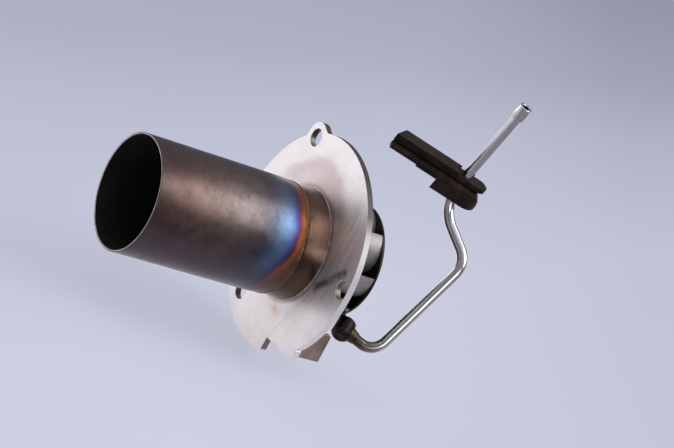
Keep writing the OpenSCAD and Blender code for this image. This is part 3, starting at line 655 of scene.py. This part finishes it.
for n in ["vane_ring"] + [f"swirl_vane_{i}" for i in range(1, 9)]:
    dress(n, vane_mat)
for n in ("back_disc", "evaporator_cup", "igniter_sleeve"):
    dress(n, dark_mat)
for n in ("air_nozzle", "flame_baffle", "fleece_retainer"):
    dress(n, liner_mat)
dress("fuel_fleece", fleece_mat)
dress("feed_tube", inlet_mat)

# fuel pipe on the frame's own centre line
def clock(r, a, y):
    """A point at radius r mm, angle a from the top and y mm along the tube's axis."""
    return Vector((r * math.sin(math.radians(a)), y, r * math.cos(math.radians(a)))) * MM


PIPE_R, BORE_R, PIPE_END = 2.4 * MM, 1.7 * MM, 101.9
inlet_at = clock(35, 127, 23.2)
first_leg = Vector((6.8, 15, -4.8)) * MM
pipe_dir = first_leg.normalized()
end_dir = clock(1, 17.8, 0).normalized()
corners = [inlet_at + pipe_dir * PIPE_R, inlet_at + first_leg, Vector((34, 60, 25)) * MM,
           clock(42.4, 17.8, 50), clock(PIPE_END, 17.8, 50)]
pipe_mat = pipe_material(inlet_at)
# the pipe's bore takes the dark bore colour as painted shade inside the pipe
pipe = pipe_mesh("fuel_pipe_bent", bent_path(corners, [0, 8 * MM, 10 * MM, 15 * MM, 0]),
                 PIPE_R, BORE_R, [pipe_mat, soot_and_shade])
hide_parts("fuel_pipe")

tip = along(end_dir, clock(PIPE_END, 17.8, 50))
olive = lathe("hose_olive_turned",
              [(2.45 * MM, -6.2 * MM), (3.1 * MM, -6.2 * MM), (3.1 * MM, -3.6 * MM), (2.8 * MM, 0),
               (2.45 * MM, 0)],
              [0, 0.3 * MM, 0.8 * MM, 0.22 * MM, 0], [olive_mat], place=tip, sides=96)
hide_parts("hose_olive")

# inlet barrel and its plug
barrel = bevelled_copy("inlet_body", 0.8 * MM, 5, [inlet_mat], "burner", angle=35)
dress("inlet_plug", inlet_mat)
dress("pipe_weld_collar", collar_mat)

# grommet
rubber = rubber_material(tuple(end_dir))
grommet = bevelled_copy("pipe_grommet", 0.45 * MM, 4, [rubber], "grommet", angle=30)

# ---------------------------------------------------------------- stage
def floor_material():
    """Pale lavender paper with painted shade darker to the back and to one side, and lighter, as a
    painted reflection, where it is mirrored in the steel.
    """
    s = Shader("floor_paper", metallic=0.0, specular=0.0)
    # painted shade: the paper darker to the back
    back = s.math("ADD", s.math("MULTIPLY", s.axes.outputs["X"], -2.286),
                  s.math("MULTIPLY", s.axes.outputs["Y"], -1.421))
    back = s.math("ADD", back, 0.872)
    cloud = s.math("MULTIPLY", s.math("SUBTRACT", s.noise(3, 2, 0.5), 0.5), 0.06)
    haze = s.math("ADD", s.span(back, 0.5, 2.5), cloud)
    paper = s.ramp(haze, [
        (0.0, (0.60, 0.62, 0.74)), (0.2, (0.59, 0.61, 0.73)), (0.42, (0.51, 0.525, 0.65)),
        (0.6, (0.43, 0.435, 0.54)), (0.95, (0.37, 0.38, 0.49))])
    path = s.tree.nodes.new("ShaderNodeLightPath")
    camera_ray, glossy = path.outputs["Is Camera Ray"], path.outputs["Is Glossy Ray"]
    # painted shade: the paper darker to one side
    aside = s.math("ADD", s.math("MULTIPLY", s.axes.outputs["X"], 0.592),
                   s.math("MULTIPLY", s.axes.outputs["Y"], 0.806))
    paper = s.times(paper, s.span(aside, 0.01, 0.21, (1.0, 0.87)))
    # painted reflection: the paper lighter where the steel mirrors it
    mirrored = s.ramp(s.span(s.axes.outputs["X"], -0.30, 0.20), [
        (0.0, (1.0, 0.97, 1.0)), (0.58, (0.98, 0.95, 0.98)), (0.85, (0.34, 0.335, 0.38))])
    paper = s.mix(glossy, paper, mirrored)
    # part of the paper's lightness is a painted glow, seen by the camera and in reflections, so that
    # shadows stay faint
    seen = s.math("MAXIMUM", camera_ray, glossy)
    s.tree.links.new(paper, s.bsdf.inputs["Emission Color"])
    s.tree.links.new(s.math("MULTIPLY", seen, 0.74), s.bsdf.inputs["Emission Strength"])
    shaded = s.mix(seen, paper, s.mix(1.0, paper, (0.26, 0.26, 0.26), "MULTIPLY"))
    return s.finish(shaded, 0.85)


bpy.ops.mesh.primitive_plane_add(size=80, location=(0, 0, cad_box[0].z - 0.0002))
floor = bpy.context.object
floor.name = "floor"
floor.data.materials.append(floor_material())

world = bpy.data.worlds.new("studio")
bpy.context.scene.world = world
world.use_nodes = True
wt = world.node_tree
back = wt.nodes["Background"]
coord = wt.nodes.new("ShaderNodeTexCoord")
split = wt.nodes.new("ShaderNodeSeparateXYZ")
wt.links.new(coord.outputs["Generated"], split.inputs[0])
rise = wt.nodes.new("ShaderNodeValToRGB")
rise.color_ramp.elements[0].position = 0.0
rise.color_ramp.elements[0].color = (0.22, 0.22, 0.25, 1)
rise.color_ramp.elements[1].position = 1.0
rise.color_ramp.elements[1].color = (1.2, 1.2, 1.22, 1)
for at, level in ((0.5, 0.34), (0.8, 0.85)):
    rise.color_ramp.elements.new(at).color = (level, level, level * 1.04, 1)
wt.links.new(split.outputs["Z"], rise.inputs[0])
path = wt.nodes.new("ShaderNodeLightPath")
seen = wt.nodes.new("ShaderNodeMix")
seen.data_type = "RGBA"
seen.inputs[7].default_value = (0.36, 0.37, 0.48, 1)
wt.links.new(path.outputs["Is Camera Ray"], seen.inputs["Factor"])
wt.links.new(rise.outputs[0], seen.inputs[6])
wt.links.new(seen.outputs[2], back.inputs["Color"])
back.inputs["Strength"].default_value = 1.0


def softbox(name, where, aim, size, power, colour=(1, 1, 1)):
    light = bpy.data.lights.new(name, "AREA")
    light.shape = "RECTANGLE"
    light.size, light.size_y = size
    light.energy = power
    light.color = colour
    o = bpy.data.objects.new(name, light)
    bpy.context.scene.collection.objects.link(o)
    o.location = where
    o.rotation_mode = "QUATERNION"
    o.rotation_quaternion = (Vector(aim) - Vector(where)).to_track_quat("-Z", "Y")
    return o


middle = Vector((0, -0.01, 0.0))
softbox("key_right", middle + Vector((0.49, 0.57, 0.66)) * 1.6, middle, (1.2, 1.2), 18.0)
softbox("low_right", middle + Vector((0.97, -0.12, 0.07)) * 1.5, middle, (0.8, 0.8), 5.0)
softbox("fill_left", middle + Vector((-0.88, -0.50, 0.16)) * 1.6, middle, (1.5, 0.8), 6.5)

# ---------------------------------------------------------------- camera
camera = bpy.data.cameras.new("camera")
camera.sensor_width = 36
camera.lens = 109.74
camera.clip_start, camera.clip_end = 0.05, 30
cam = bpy.data.objects.new("camera", camera)
bpy.context.scene.collection.objects.link(cam)
right = Vector((0.4277, 0.7815, 0.4543))
up = Vector((-0.4568, -0.2468, 0.8547))
fwd = Vector((-0.78, 0.5731, -0.2513)).normalized()
right = (right - fwd * right.dot(fwd)).normalized()
up = right.cross(fwd)
cam.matrix_world = Matrix((
    (right.x, up.x, -fwd.x, 0.6857), (right.y, up.y, -fwd.y, -0.489),
    (right.z, up.z, -fwd.z, 0.2345), (0, 0, 0, 1)))
bpy.context.scene.camera = cam
bpy.context.scene.view_settings.view_transform = "Standard"
